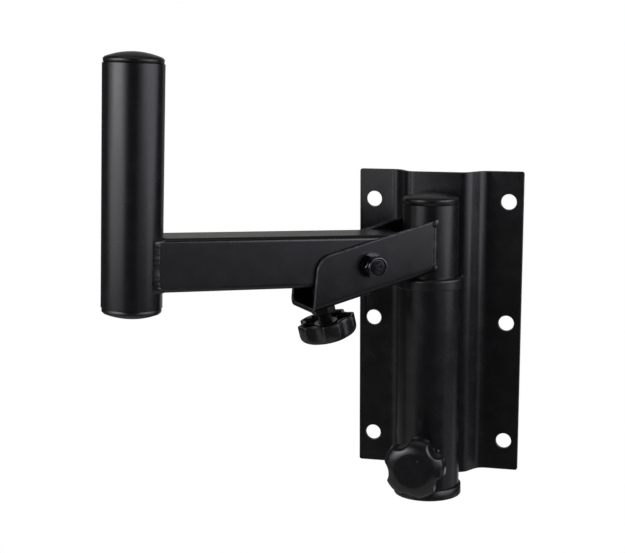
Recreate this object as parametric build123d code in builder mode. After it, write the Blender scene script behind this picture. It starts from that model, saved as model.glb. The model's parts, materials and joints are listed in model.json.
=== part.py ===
"""Speaker wall bracket: a wall plate with a socket, and a swivelling arm that tilts and carries a speaker pole.

Millimetres. The origin is the centre of the plate's back face, on the wall: +Z is up and the room is at -Y.
The pieces stand as they are photographed, with the arm swung to the left and a little above level.
"""

import os
from math import atan2, cos, degrees, radians, sin, sqrt, tan

from build123d import *

# How close a measured radius has to come to its value
radius_tolerance = 0.0001

# Pose of the photographed bracket, in degrees
swivel_angle = 52.0  # from straight out towards -X
arm_tilt = 2.2  # above level

# Clearances
running_fit = 0.05  # radial play of turning and sliding fits
bolt_play = 0.2  # radial play of a bolt in its plain holes
press_play = 0.05  # radial play of a plug in its tube
weld_gap = 0.1  # root gap of the welded joints
arm_side_play = 0.5  # between the arm and each cheek
contact_gap = 0.25  # between a screw's tip and what it presses
seat_gap = 0.1  # under the foot of the pivot tube

# Wall plate, pressed from one sheet
plate_width = 107.0
plate_height = 197.0
plate_thickness = 2.5
plate_corner_radius = 1.5
wall_hole_diameter = 10.0
wall_hole_margin_x = 9.5  # of the outer holes from the plate's edges
wall_hole_margin_z = 19.5
hat_raise = 14.0  # the hat section's step from the flanges
hat_inside_width = 36.5
hat_ramp_angle = 60.0
hat_edge_radius = 6.0  # inside of the hat section's two edges
foot_bend_radius = 8.0  # inside of the two bends at its foot

# Round tube of the speaker pole and of the pivot
tube_diameter = 35.0
tube_wall = 2.0

# Domed plastic cap in a tube's end
cap_inset = 0.4  # the cap's rim inside the tube's outline
cap_rim_height = 3.0
cap_dome_rise = 3.6
cap_edge_radius = 1.0
cap_spigot_length = 10.0
cap_wall = 1.6

# Socket on the plate
socket_wall = 1.5
liner_wall = 0.9  # of the collar and the cap inside the socket
socket_top = 29.0  # above the plate's middle
socket_flange_overhang = 1.5
socket_flange_edge_radius = 0.6
collar_flange_height = 7.0
collar_top_radius = 1.8
liner_length = 20.0  # how far the collar and the cap reach into the socket
bottom_cap_height = 7.0
bottom_cap_dome_rise = 1.5
socket_standoff = 1.8  # bridged by the weld beads, so that the collar's flange clears the plate
socket_weld_radius = 3.5
socket_weld_spread = 8.5  # each bead from the plate's middle line
socket_weld_inset = 8.0  # of the beads' ends inside the socket's ends

# Pivot tube
pivot_tube_above_channel = 8.6

# Five-lobed hand knobs
knob_valley_depth = 4.0
knob_flute_radius = 8.0
knob_lobes = 5
knob_lobe_edge_radius = 3.5
knob_height = 12.5
knob_skirt_height = 6.0  # straight part of the lobes
knob_crown_width = 8.2  # rounded from the face's edge
knob_crown_overlap = 0.1  # the crown's outline outside the lobes' tips
knob_rim_wall = 2.4
knob_top_wall = 4.5  # over the recess
knob_hub_wall = 2.5
knob_rib_thickness = 1.8
knob_rib_drop = 4.0  # the ribs below the rim
knob_bore_cover = 3.5  # over the stud's end

# Clamp on the socket's foot
clamp_above_foot = 22.0  # of the socket
clamp_thread = 10.0
clamp_knob_radius = 19.5
clamp_nut_flats = 17.0
clamp_nut_height = 8.0
clamp_knob_gap = 12.0  # between the nut and the knob's rim
clamp_tip_chamfer = 1.0
clamp_lobe_angle = 7.7  # of one lobe, above level

# Folded channel on the pivot tube
channel_sheet = 2.5
channel_bend_radius = 2.5  # inside of each bend
channel_slope = 13.5  # below level
channel_start = 7.0  # of the cheeks, from the swivel axis
channel_end_reach = 43.1  # of the web's free edge, from the bolt
channel_end_slant = 19.0  # of the cheeks' free edge
cheek_corner_radius = 12.0
cheek_above_bolt = 14.1
arm_under_gap = 1.6  # between the arm and the web when the two lie parallel
channel_above_collar = 0.4
channel_weld_radius = 2.2
channel_weld_inset = 0.8  # the beads' middle inside the cheeks' outer face
channel_weld_rise = 1.0  # the beads' middle outside the tube

# Tilt bolt
bolt_reach = 49.1  # from the swivel axis
bolt_drop = 2.2  # below the arm's middle
bolt_thread = 8.0
bolt_flats = 13.0
bolt_head_height = 5.3
bolt_tail = 0.9  # beyond the nut
locknut_hex_height = 5.6
locknut_collar_height = 2.4
locknut_collar_radius = 5.9
washer_diameter = 16.0
washer_thickness = 1.6
hex_chamfer = 0.9  # of each hexagon's corners, in radius
hex_chamfer_height = 0.5

# Tilt screw under the channel
screw_reach = 29.7  # from the bolt, along the channel
screw_thread = 8.0
screw_knob_radius = 18.5
screw_nut_flats = 13.0
screw_nut_height = 6.5
screw_knob_gap = 4.0  # between the nut and the knob's rim
screw_lobe_angle = 12.7  # of one lobe, from the arm's side

# Arm and pole
arm_size = 31.0
arm_wall = 2.0
arm_inner_radius = 1.0
arm_end_gap = 6.5  # between the slanted inner end's top and the pivot tube
arm_end_bottom = 4.0  # of the slanted inner end, from the bolt
pole_reach = 142.0  # of the pole's axis, from the bolt
pole_above_arm = 96.4  # above the arm's top
pole_below_arm = 9.6  # under the arm
arm_weld_width = 3.2  # along the arm
arm_weld_height = 1.5  # above the arm's faces
arm_weld_round = 1.3  # of the bead's outer edge

# Derived sizes
tube_radius = tube_diameter / 2
tube_bore_radius = tube_radius - tube_wall
cap_radius = tube_radius - cap_inset
liner_bore_radius = tube_radius + running_fit
liner_radius = liner_bore_radius + liner_wall
socket_bore_radius = liner_radius + press_play
socket_radius = socket_bore_radius + socket_wall
socket_flange_radius = socket_radius + socket_flange_overhang
socket_bottom = -plate_height / 2
clamp_height = socket_bottom + clamp_above_foot
wall_hole_pitch_x = plate_width - 2 * wall_hole_margin_x
wall_hole_pitch_z = plate_height / 2 - wall_hole_margin_z
hat_front = plate_thickness + hat_raise
swivel_depth = hat_front + socket_standoff + socket_radius
bolt_radius = bolt_thread / 2
screw_radius = screw_thread / 2
clamp_radius = clamp_thread / 2
locknut_height = locknut_hex_height + locknut_collar_height
knob_hub_radius = clamp_radius + knob_hub_wall
knob_recess_depth = knob_height - knob_top_wall
knob_bore_depth = knob_height - knob_bore_cover
arm_half = arm_size / 2
arm_corner_radius = arm_inner_radius + arm_wall
arm_end_top = bolt_reach - tube_radius - arm_end_gap
pole_head = arm_half + pole_above_arm
pole_foot = arm_half + pole_below_arm
cheek_inside = arm_half + arm_side_play
cheek_outside = cheek_inside + channel_sheet
arm_under_bolt = arm_half - bolt_drop
cheek_below_bolt = arm_under_bolt + arm_under_gap + channel_sheet

# Heights of the sloping channel, which just clears the collar's flange
slope = radians(channel_slope)
web_at_flange = socket_top + collar_flange_height + channel_above_collar
bolt_height = web_at_flange + cheek_below_bolt / cos(slope) - (bolt_reach - socket_flange_radius) * tan(slope)
cheek_foot = web_at_flange + (socket_flange_radius - channel_start) * tan(slope)
cheek_head = cheek_foot + (cheek_above_bolt + cheek_below_bolt) / cos(slope)
pivot_tube_top = cheek_head + pivot_tube_above_channel

# Directions of the swung arm and the planes of its pieces
up = Vector(0, 0, 1)
out = Vector(0, -1, 0).rotate(Axis.Z, -swivel_angle)
side = Vector(1, 0, 0).rotate(Axis.Z, -swivel_angle)


def along(angle):
    """Direction of the arm's upright plane, at an angle above level."""
    return out * cos(radians(angle)) + up * sin(radians(angle))


pivot_seat = Plane(origin=(0, -swivel_depth, 0), x_dir=out, z_dir=up)
bolt_center = pivot_seat.origin + out * bolt_reach + up * bolt_height
bolt_axis = Plane(origin=bolt_center, x_dir=out, z_dir=side)
channel_side = Plane(origin=bolt_center, x_dir=along(-channel_slope), z_dir=-side)
channel_section = Plane(origin=bolt_center, x_dir=side, z_dir=along(-channel_slope))
arm_middle = bolt_center + along(arm_tilt + 90) * bolt_drop
arm_view = Plane(origin=arm_middle, x_dir=along(arm_tilt), z_dir=-side)
arm_section = Plane(origin=arm_middle, x_dir=side, z_dir=along(arm_tilt))
pole_seat = Plane(
    origin=arm_middle + along(arm_tilt) * pole_reach, x_dir=along(arm_tilt), z_dir=along(arm_tilt + 90)
)
screw_down = Plane(
    origin=bolt_center + along(-channel_slope) * screw_reach, x_dir=side, z_dir=-along(90 - channel_slope)
)
clamp_axis = Plane(origin=(0, -swivel_depth, clamp_height), x_dir=(1, 0, 0), z_dir=(0, -1, 0))


def axial(seat):
    """Plane of a turned profile: X is the radius and Y runs along the seat's own axis."""
    return Plane(origin=seat.origin, x_dir=seat.x_dir, z_dir=-seat.y_dir)


def turn_axis(seat):
    """Axis of a turned piece on its seat."""
    return Axis(seat.origin, seat.z_dir)


def dome_middle(radius, rise):
    """Halfway point of the arc from a dome's rim to its top, as radius and height."""
    ball = (radius**2 + rise**2) / (2 * rise)
    half = radius / 2
    return half, sqrt(ball**2 - half**2) - ball + rise


def rim_edges(piece, radius):
    """Round edges of one radius on a turned piece."""
    rounds = piece.edges().filter_by(GeomType.CIRCLE)
    return rounds.filter_by(lambda edge: abs(edge.radius - radius) < radius_tolerance)


def round_tube(foot, radius, wall, length):
    """Plain round tube that stands on a plane."""
    with BuildPart() as tube:
        with BuildSketch(foot):
            Circle(radius)
            Circle(radius - wall, mode=Mode.SUBTRACT)
        extrude(amount=length)
    return tube.part


def tube_cap(seat):
    """Domed plug cap on a tube's end: a rim, a shallow dome and a hollow spigot inside the tube."""
    spigot_radius = tube_bore_radius - press_play
    middle_radius, middle_height = dome_middle(cap_radius, cap_dome_rise)
    with BuildPart() as cap:
        with BuildSketch(axial(seat)):
            with BuildLine():
                ThreePointArc(
                    (0, cap_rim_height + cap_dome_rise),
                    (middle_radius, cap_rim_height + middle_height),
                    (cap_radius, cap_rim_height),
                )
                Polyline(
                    (cap_radius, cap_rim_height),
                    (cap_radius, 0),
                    (spigot_radius, 0),
                    (spigot_radius, -cap_spigot_length),
                    (spigot_radius - cap_wall, -cap_spigot_length),
                    (spigot_radius - cap_wall, cap_rim_height - cap_wall),
                    (0, cap_rim_height - cap_wall),
                    (0, cap_rim_height + cap_dome_rise),
                )
            make_face()
        revolve(axis=turn_axis(seat))
        fillet(rim_edges(cap, cap_radius), cap_edge_radius)
    return cap.part


def hexagon(seat, flats, height, bore, chamfered_foot=False):
    """Hexagon nut or head on a plane, with its outer corners turned off."""
    corner = flats / sqrt(3)
    shoulder = corner - hex_chamfer
    foot_radius = shoulder if chamfered_foot else corner
    with BuildPart() as piece:
        with BuildSketch(seat):
            RegularPolygon(flats / 2, 6, major_radius=False)
            if bore:
                Circle(bore, mode=Mode.SUBTRACT)
        extrude(amount=height)
        with BuildSketch(axial(seat)):
            with BuildLine():
                Polyline(
                    (0, 0),
                    (foot_radius, 0),
                    (corner, hex_chamfer_height),
                    (corner, height - hex_chamfer_height),
                    (shoulder, height),
                    (0, height),
                    close=True,
                )
            make_face()
        revolve(axis=turn_axis(seat), mode=Mode.INTERSECT)
    return piece.part


def draw_lobes(sketch, radius):
    """Knob outline: a disc with a hollow between each two lobes, its lobes' corners rounded."""
    Circle(radius)
    half_lobe = 180 / knob_lobes
    flute_reach = radius - knob_valley_depth + knob_flute_radius
    with PolarLocations(flute_reach, knob_lobes, start_angle=half_lobe):
        Circle(knob_flute_radius, mode=Mode.SUBTRACT)
    fillet(sketch.vertices(), knob_lobe_edge_radius)


def hand_knob(rim, radius, lobe_angle, stud_radius):
    """Hand knob whose rim lies on a plane and whose face looks along the plane's axis."""
    crown_radius = radius + knob_crown_overlap
    face_radius = crown_radius - knob_crown_width
    with BuildPart() as knob:
        with BuildSketch() as outline:
            draw_lobes(outline, radius)
        extrude(amount=knob_height)
        with BuildSketch(axial(Plane.XY)):
            with BuildLine():
                Polyline(
                    (face_radius, knob_height),
                    (0, knob_height),
                    (0, 0),
                    (crown_radius, 0),
                    (crown_radius, knob_skirt_height),
                )
                EllipticalCenterArc(
                    (face_radius, knob_skirt_height),
                    knob_crown_width,
                    knob_height - knob_skirt_height,
                    arc_size=90,
                )
            make_face()
        revolve(axis=Axis.Z, mode=Mode.INTERSECT)
        with BuildSketch() as mouth:
            draw_lobes(mouth, radius)
            offset(amount=-knob_rim_wall)
            Circle(knob_hub_radius, mode=Mode.SUBTRACT)
        extrude(amount=knob_rib_drop, mode=Mode.SUBTRACT)
        with BuildSketch():
            add(mouth.sketch_local)
            with PolarLocations(radius / 2, knob_lobes):
                Rectangle(radius, knob_rib_thickness, mode=Mode.SUBTRACT)
        extrude(amount=knob_recess_depth, mode=Mode.SUBTRACT)
        with BuildSketch():
            Circle(stud_radius + press_play)
        extrude(amount=knob_bore_depth, mode=Mode.SUBTRACT)
    return knob.part.rotate(Axis.Z, lobe_angle).moved(rim.location)


# Wall plate: the hat section is folded up from the sheet, and six holes go through its flanges
with BuildPart() as wall_plate:
    with BuildSketch(Plane.XY.offset(-plate_height / 2)):
        with BuildLine():
            hat_half = hat_inside_width / 2
            foot_half = hat_half + hat_raise / tan(radians(hat_ramp_angle))
            FilletPolyline(
                (-plate_width / 2, 0),
                (-foot_half, 0),
                (-hat_half, -hat_raise),
                (hat_half, -hat_raise),
                (foot_half, 0),
                (plate_width / 2, 0),
                radius=[
                    foot_bend_radius + plate_thickness,
                    hat_edge_radius,
                    hat_edge_radius,
                    foot_bend_radius + plate_thickness,
                ],
            )
            offset(amount=plate_thickness, side=Side.RIGHT)
        make_face()
    extrude(amount=plate_height)
    flange_corners = wall_plate.edges().filter_by(Axis.Y).group_by(Axis.X)
    fillet(flange_corners[0] + flange_corners[-1], plate_corner_radius)
    with BuildSketch(Plane.XZ):
        with GridLocations(wall_hole_pitch_x, wall_hole_pitch_z, 2, 3):
            Circle(wall_hole_diameter / 2)
    extrude(amount=plate_thickness, mode=Mode.SUBTRACT)

# Socket: an upright tube on the hat section, with a hole for the clamp screw
with BuildPart() as socket_tube:
    with BuildSketch(Plane(origin=(0, -swivel_depth, socket_bottom))):
        Circle(socket_radius)
        Circle(socket_bore_radius, mode=Mode.SUBTRACT)
    extrude(amount=socket_top - socket_bottom)
    with BuildSketch(clamp_axis):
        Circle(clamp_radius + bolt_play)
    extrude(amount=2 * socket_radius, mode=Mode.SUBTRACT)

# Collar: a flanged bush in the socket's mouth
collar_seat = Plane(origin=(0, -swivel_depth, socket_top))
with BuildPart() as socket_collar:
    with BuildSketch(axial(collar_seat)):
        with BuildLine():
            Polyline(
                (liner_bore_radius, -liner_length),
                (liner_radius, -liner_length),
                (liner_radius, 0),
                (socket_flange_radius, 0),
                (socket_flange_radius, collar_flange_height),
                (liner_bore_radius, collar_flange_height),
                close=True,
            )
        make_face()
    revolve(axis=turn_axis(collar_seat))
    fillet(rim_edges(socket_collar, socket_flange_radius).sort_by(Axis.Z)[-1], collar_top_radius)
    fillet(rim_edges(socket_collar, socket_flange_radius).sort_by(Axis.Z)[0], socket_flange_edge_radius)

# Bottom cap: closes the socket and guides the foot of the pivot tube
bottom_seat = Plane(origin=(0, -swivel_depth, socket_bottom))
with BuildPart() as socket_bottom_cap:
    with BuildSketch(axial(bottom_seat)):
        with BuildLine():
            middle_radius, middle_height = dome_middle(socket_flange_radius, bottom_cap_dome_rise)
            Polyline(
                (0, -bottom_cap_height - bottom_cap_dome_rise),
                (0, 0),
                (liner_bore_radius, 0),
                (liner_bore_radius, liner_length / 2),
                (liner_radius, liner_length / 2),
                (liner_radius, 0),
                (socket_flange_radius, 0),
                (socket_flange_radius, -bottom_cap_height),
            )
            ThreePointArc(
                (socket_flange_radius, -bottom_cap_height),
                (middle_radius, -bottom_cap_height - middle_height),
                (0, -bottom_cap_height - bottom_cap_dome_rise),
            )
        make_face()
    revolve(axis=turn_axis(bottom_seat))
    fillet(rim_edges(socket_bottom_cap, socket_flange_radius), socket_flange_edge_radius)

# Two weld beads in the wedges between the socket and the plate
with BuildPart() as socket_welds:
    with BuildSketch(Plane.XY.offset(socket_bottom + socket_weld_inset)):
        with Locations((-socket_weld_spread, -hat_front), (socket_weld_spread, -hat_front)):
            Circle(socket_weld_radius)
        with Locations((0, -hat_front + plate_width / 2)):
            Rectangle(plate_width, plate_width, mode=Mode.SUBTRACT)
        with Locations((0, -swivel_depth)):
            Circle(socket_radius + weld_gap, mode=Mode.SUBTRACT)
    extrude(amount=socket_top - socket_bottom - 2 * socket_weld_inset)

# Clamp nut: a hexagon coped to the socket's round front and welded there
clamp_nut_face = clamp_axis.offset(socket_radius + clamp_nut_height)
with BuildPart() as clamp_nut:
    add(hexagon(clamp_axis, clamp_nut_flats, socket_radius + clamp_nut_height, clamp_radius + running_fit))
    with BuildSketch(bottom_seat):
        Circle(socket_radius)
    extrude(amount=plate_height, mode=Mode.SUBTRACT)

# Clamp screw: a stud with a chamfered tip against the pivot tube
clamp_knob_rim = clamp_nut_face.offset(clamp_knob_gap)
clamp_tip = clamp_axis.offset(tube_radius + contact_gap)
clamp_outer_end = socket_radius + clamp_nut_height + clamp_knob_gap + knob_bore_depth - press_play
with BuildPart() as clamp_screw:
    with BuildSketch(clamp_tip):
        Circle(clamp_radius)
    extrude(amount=clamp_outer_end - tube_radius - contact_gap)
    chamfer(clamp_screw.edges().filter_by(GeomType.CIRCLE).sort_by(Axis.Y)[-1], clamp_tip_chamfer)

# Pivot tube: stands in the socket on the bottom cap
pivot_foot = bottom_seat.offset(seat_gap)
pivot_tube_length = pivot_tube_top - socket_bottom - seat_gap

# Channel: two cheeks and a web folded from one sheet, coped to the pivot tube
channel_run = bolt_reach + channel_end_reach
cheek_lean = tan(radians(channel_end_slant))
with BuildPart() as tilt_channel:
    with BuildSketch(channel_section):
        with BuildLine():
            FilletPolyline(
                (-cheek_outside, 2 * cheek_above_bolt),
                (-cheek_outside, -cheek_below_bolt),
                (cheek_outside, -cheek_below_bolt),
                (cheek_outside, 2 * cheek_above_bolt),
                radius=channel_bend_radius + channel_sheet,
            )
            offset(amount=channel_sheet, side=Side.LEFT)
        make_face()
    extrude(amount=channel_run, both=True)
    with BuildSketch(channel_side) as cheek_outline:
        end_top = channel_end_reach - cheek_lean * (cheek_above_bolt + cheek_below_bolt)
        end_below = channel_end_reach + cheek_lean * cheek_below_bolt
        with BuildLine():
            Polyline(
                (-channel_run, -2 * cheek_below_bolt),
                (end_below, -2 * cheek_below_bolt),
                (end_top, cheek_above_bolt),
                (-channel_run, cheek_above_bolt),
                close=True,
            )
        make_face()
        free_corner = cheek_outline.vertices().sort_by_distance((end_top, cheek_above_bolt))[0]
        fillet(free_corner, cheek_corner_radius)
    extrude(amount=2 * cheek_outside, both=True, mode=Mode.INTERSECT)
    with BuildSketch(channel_side):
        Circle(bolt_radius + bolt_play)
    extrude(amount=2 * cheek_outside, both=True, mode=Mode.SUBTRACT)
    with BuildSketch(screw_down):
        Circle(screw_radius + bolt_play)
    extrude(amount=2 * cheek_below_bolt, mode=Mode.SUBTRACT)
    with BuildSketch(pivot_seat):
        Circle(tube_radius + weld_gap)
        with Locations((channel_start - channel_run, 0)):
            Rectangle(2 * channel_run, 2 * channel_run, mode=Mode.ADD)
    extrude(amount=2 * channel_run, both=True, mode=Mode.SUBTRACT)

# Two upright weld beads between the cheeks and the pivot tube
bend_height = channel_bend_radius + channel_sheet
weld_angle = degrees(atan2(cheek_outside - channel_weld_inset, channel_start))
weld_reach = tube_radius + weld_gap + channel_weld_rise
with BuildPart() as channel_welds:
    with BuildSketch(pivot_seat.offset(cheek_foot + bend_height)):
        with PolarLocations(weld_reach, 2, -weld_angle, 2 * weld_angle, endpoint=True):
            Circle(channel_weld_radius)
        Circle(tube_radius + weld_gap, mode=Mode.SUBTRACT)
    extrude(amount=cheek_head - cheek_foot - bend_height)
    add(tilt_channel.part, mode=Mode.SUBTRACT)

# Washers, bolt and locking nut of the tilt pivot: the head is on the far cheek, the nut on the near one
with BuildPart() as pivot_washers:
    for washer_foot in (cheek_outside, -cheek_outside - washer_thickness):
        with BuildSketch(bolt_axis.offset(washer_foot)):
            Circle(washer_diameter / 2)
            Circle(bolt_radius + bolt_play, mode=Mode.SUBTRACT)
        extrude(amount=washer_thickness)

bolt_grip = cheek_outside + washer_thickness
head_seat = Plane(origin=bolt_center - side * bolt_grip, x_dir=out, z_dir=-side)
with BuildPart() as pivot_bolt:
    add(hexagon(head_seat, bolt_flats, bolt_head_height, 0))
    with BuildSketch(head_seat):
        Circle(bolt_radius)
    extrude(amount=-(2 * bolt_grip + locknut_height + bolt_tail))

nut_seat = bolt_axis.offset(bolt_grip)
with BuildPart() as pivot_nut:
    add(hexagon(nut_seat, bolt_flats, locknut_hex_height, bolt_radius + press_play, chamfered_foot=True))
    with BuildSketch(nut_seat.offset(locknut_hex_height)):
        Circle(locknut_collar_radius)
        Circle(bolt_radius + press_play, mode=Mode.SUBTRACT)
    extrude(amount=locknut_collar_height)
    fillet(rim_edges(pivot_nut, locknut_collar_radius).sort_by(Axis(nut_seat.origin, side))[-1], hex_chamfer)

# Weld nut, stud and knob of the tilt screw
tilt_nut_seat = screw_down.offset(cheek_below_bolt)
tilt_nut = hexagon(tilt_nut_seat, screw_nut_flats, screw_nut_height, screw_radius + running_fit)
tilt_knob_rim = tilt_nut_seat.offset(screw_nut_height + screw_knob_gap)

# The stud's ball tip stays just under the arm, which leans against the channel by both their angles
lean = radians(channel_slope + arm_tilt)
tip_center = (arm_under_bolt + screw_radius + contact_gap) / cos(lean) - screw_reach * tan(lean)
screw_foot = cheek_below_bolt + screw_nut_height + screw_knob_gap + knob_bore_depth - press_play
with BuildPart() as tilt_screw:
    with BuildSketch(axial(screw_down)):
        with BuildLine():
            Polyline(
                (0, tip_center - screw_radius),
                (0, screw_foot),
                (screw_radius, screw_foot),
                (screw_radius, tip_center),
            )
            CenterArc((0, tip_center), screw_radius, 270, 90)
        make_face()
    revolve(axis=turn_axis(screw_down))

# Arm: a square tube with a slanted inner end, coped to the pole
with BuildPart() as arm_tube:
    with BuildSketch(arm_section.offset(-arm_end_top - arm_size)):
        RectangleRounded(arm_size, arm_size, arm_corner_radius)
        bore = arm_size - 2 * arm_wall
        RectangleRounded(bore, bore, arm_inner_radius, mode=Mode.SUBTRACT)
    extrude(amount=arm_end_top + arm_size + pole_reach)
    with BuildSketch(arm_view):
        end_middle = (arm_end_top + arm_end_bottom) / 2
        end_lean = arm_end_top - arm_end_bottom
        with BuildLine():
            Polyline(
                (-end_middle - end_lean, arm_size),
                (-end_middle + end_lean, -arm_size),
                (pole_reach, -arm_size),
                (pole_reach, arm_size),
                close=True,
            )
        make_face()
    extrude(amount=arm_size, both=True, mode=Mode.INTERSECT)
    with BuildSketch(pole_seat):
        Circle(tube_radius + weld_gap)
    extrude(amount=arm_size, both=True, mode=Mode.SUBTRACT)
    with BuildSketch(bolt_axis):
        Circle(bolt_radius + running_fit)
    extrude(amount=arm_size, both=True, mode=Mode.SUBTRACT)

# Weld bead all round the arm's end, on the pole
with BuildPart() as arm_weld:
    weld_size = arm_size + 2 * arm_weld_height
    with BuildSketch(arm_section.offset(pole_reach - 2 * tube_radius)):
        RectangleRounded(weld_size, weld_size, arm_corner_radius + arm_weld_height)
        RectangleRounded(arm_size, arm_size, arm_corner_radius, mode=Mode.SUBTRACT)
    extrude(amount=2 * tube_radius)
    with BuildSketch(pole_seat):
        Circle(tube_radius + arm_weld_width)
        Circle(tube_radius + weld_gap, mode=Mode.SUBTRACT)
    extrude(amount=weld_size, both=True, mode=Mode.INTERSECT)
    bead_end = arm_weld.faces().sort_by_distance(arm_middle)[0]
    fillet(bead_end.outer_wire().edges(), arm_weld_round)

# Every piece under its own name
pieces = {
    "wall_plate": wall_plate.part,
    "socket_tube": socket_tube.part,
    "socket_collar": socket_collar.part,
    "socket_bottom_cap": socket_bottom_cap.part,
    "socket_welds": socket_welds.part,
    "clamp_nut": clamp_nut.part,
    "clamp_screw": clamp_screw.part,
    "clamp_knob": hand_knob(clamp_knob_rim, clamp_knob_radius, clamp_lobe_angle, clamp_radius),
    "pivot_tube": round_tube(pivot_foot, tube_radius, tube_wall, pivot_tube_length),
    "pivot_tube_cap": tube_cap(pivot_seat.offset(pivot_tube_top)),
    "tilt_channel": tilt_channel.part,
    "channel_welds": channel_welds.part,
    "pivot_bolt": pivot_bolt.part,
    "pivot_nut": pivot_nut.part,
    "pivot_washers": pivot_washers.part,
    "tilt_nut": tilt_nut,
    "tilt_screw": tilt_screw.part,
    "tilt_knob": hand_knob(tilt_knob_rim, screw_knob_radius, screw_lobe_angle, screw_radius),
    "arm_tube": arm_tube.part,
    "arm_weld": arm_weld.part,
    "speaker_pole": round_tube(pole_seat.offset(-pole_foot), tube_radius, tube_wall, pole_head + pole_foot),
    "pole_top_cap": tube_cap(pole_seat.offset(pole_head)),
    "pole_bottom_cap": tube_cap(
        Plane(pole_seat.offset(-pole_foot).origin, x_dir=pole_seat.x_dir, z_dir=-pole_seat.z_dir)
    ),
}

os.makedirs("parts", exist_ok=True)
for name, piece in pieces.items():
    piece.label = name
    export_step(piece, f"parts/{name}.step")
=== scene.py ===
"""Speaker wall bracket: finishes, welds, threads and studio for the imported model."""

import json
from math import atan2, cos, pi, radians, sin, sqrt

import bmesh
import bpy
from mathutils import Matrix, Vector, noise


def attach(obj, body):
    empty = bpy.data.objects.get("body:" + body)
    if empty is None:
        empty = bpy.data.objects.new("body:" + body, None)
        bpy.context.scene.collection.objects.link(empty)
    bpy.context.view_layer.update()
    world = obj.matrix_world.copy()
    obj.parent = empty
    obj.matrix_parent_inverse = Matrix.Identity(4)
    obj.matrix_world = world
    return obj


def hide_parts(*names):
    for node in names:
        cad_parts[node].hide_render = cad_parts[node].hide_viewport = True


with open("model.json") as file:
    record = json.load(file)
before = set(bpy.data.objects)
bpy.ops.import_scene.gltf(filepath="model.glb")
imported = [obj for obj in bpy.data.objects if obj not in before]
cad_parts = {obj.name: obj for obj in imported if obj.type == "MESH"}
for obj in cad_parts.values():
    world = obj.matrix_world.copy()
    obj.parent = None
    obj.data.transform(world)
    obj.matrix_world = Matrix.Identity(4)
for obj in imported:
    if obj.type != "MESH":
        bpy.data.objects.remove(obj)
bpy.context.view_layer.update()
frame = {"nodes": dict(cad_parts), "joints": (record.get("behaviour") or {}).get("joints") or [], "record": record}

MM = 0.001

# Photograph's camera, from a fit of the built sizes to the picture's edges
PICTURE_WIDTH, PICTURE_HEIGHT = 625, 553
FOCAL_PIXELS = 1356.08
PRINCIPAL_X, PRINCIPAL_Y = 339.80, 307.45
CAMERA_YAW, CAMERA_PITCH = radians(14.0967), radians(10.6879)
CAMERA_PLACE = Vector((149.57, -865.83, 173.48)) * MM
SENSOR_WIDTH = 36.0

# Studio, in metres
STUDIO_MIDDLE = Vector((-50, -70, 0)) * MM
FLOOR_HEIGHT, FLOOR_HALF = -0.90, 12.0
ROOM_LIGHT = 0.05                           # weak light all round

# Pose of the photograph
SWING = radians(52.0)                       # arm's way from straight out
ARM_TILT = radians(2.2)                     # arm above level
CHANNEL_SLOPE = radians(13.5)               # channel below level

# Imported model's sizes that the modelled pieces follow, in millimetres
TUBE_RADIUS, SOCKET_RADIUS = 17.5, 20.0
HAT_FRONT = 16.5                            # plate's raised middle, from the wall
SOCKET_FOOT, SOCKET_HEAD = -98.5, 29.0
PIVOT_HEAD = 80.88                          # pivot tube's upper end
POLE_HEAD, POLE_FOOT = 111.9, 25.1          # pole's ends, from the arm's middle
POLE_REACH = 142.0                          # pole's axis, from the bolt along the arm
ARM_HALF, ARM_CORNER = 15.5, 3.0            # square tube's half width and corner radius
CHANNEL_START = 7.0                         # cheeks' ends, from the pivot tube's axis
CHEEK_OUTSIDE = 18.5                        # cheek's outer face, from the channel's middle
CHEEK_FOOT, CHEEK_HEAD = 39.88, 72.28       # heights of a cheek's end on the pivot tube
CHEEK_BELOW_BOLT = 17.4                     # web's underside, below the bolt

# Bolt of the arm's tilt
BOLT_DROP = 2.2                             # bolt below the arm's middle
BOLT_GRIP = 20.1                            # head and nut, from the channel's middle
BOLT_RADIUS, BOLT_PITCH, BOLT_FLATS, BOLT_HEAD = 4.0, 1.25, 13.0, 5.3
LOCKNUT_HEX, LOCKNUT_HEIGHT = 5.6, 8.0      # hexagon alone, and with its collar
BOLT_TAIL = 0.9                             # bolt's end past the nut
TEAR_DEPTH, TEAR_RATE, TEAR_SINK = 0.35, 0.85, 0.15     # its sheared face: depth, noise steps in a millimetre, sinking

# Hand screws: each nut, its gap to the knob's rim, and the stud's radius and ends
CLAMP_NUT_FLATS, CLAMP_NUT_HEIGHT, CLAMP_KNOB_GAP = 17.0, 8.0, 12.0
CLAMP_STUD, CLAMP_STUD_TIP, CLAMP_STUD_END = 5.0, 17.75, 48.95
TILT_NUT_FLATS, TILT_NUT_HEIGHT, TILT_KNOB_GAP = 13.0, 6.5, 4.0
TILT_STUD, TILT_BALL, TILT_STUD_END = 4.0, 9.88, 36.85
CLAMP_PITCH, TILT_PITCH = 1.5, 1.25
BORE_PLAY = 0.05                            # a nut's bore round its thread

# Hand knobs
CLAMP_KNOB_RADIUS, CLAMP_LOBE_ANGLE, CLAMP_FULLNESS = 19.5, radians(7.7), 1.6
TILT_KNOB_RADIUS, TILT_LOBE_ANGLE, TILT_FULLNESS = 18.5, radians(12.7), 2.1
KNOB_LOBES = 5
KNOB_HEIGHT, KNOB_SKIRT = 12.5, 6.0         # whole, and its straight foot
KNOB_CROWN, CROWN_STEPS = 9.1, 24           # width of the crown's curve, and its steps
KNOB_VALLEY, KNOB_FLUTE = 4.0, 8.0          # depth and radius of a flute
KNOB_LOBE_EDGE, KNOB_FLUTE_EDGE = 1.6, 2.6  # softness of a lobe, and of a flute's edge on the crown
KNOB_WALL, KNOB_ROOF, KNOB_HOLE = 2.4, 8.0, 9.0     # hollow side: wall, height of its roof and of the stud's hole
KNOB_HUB, KNOB_HUB_DROP = 7.5, 1.5          # hub's radius, and its face inside the rim
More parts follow.
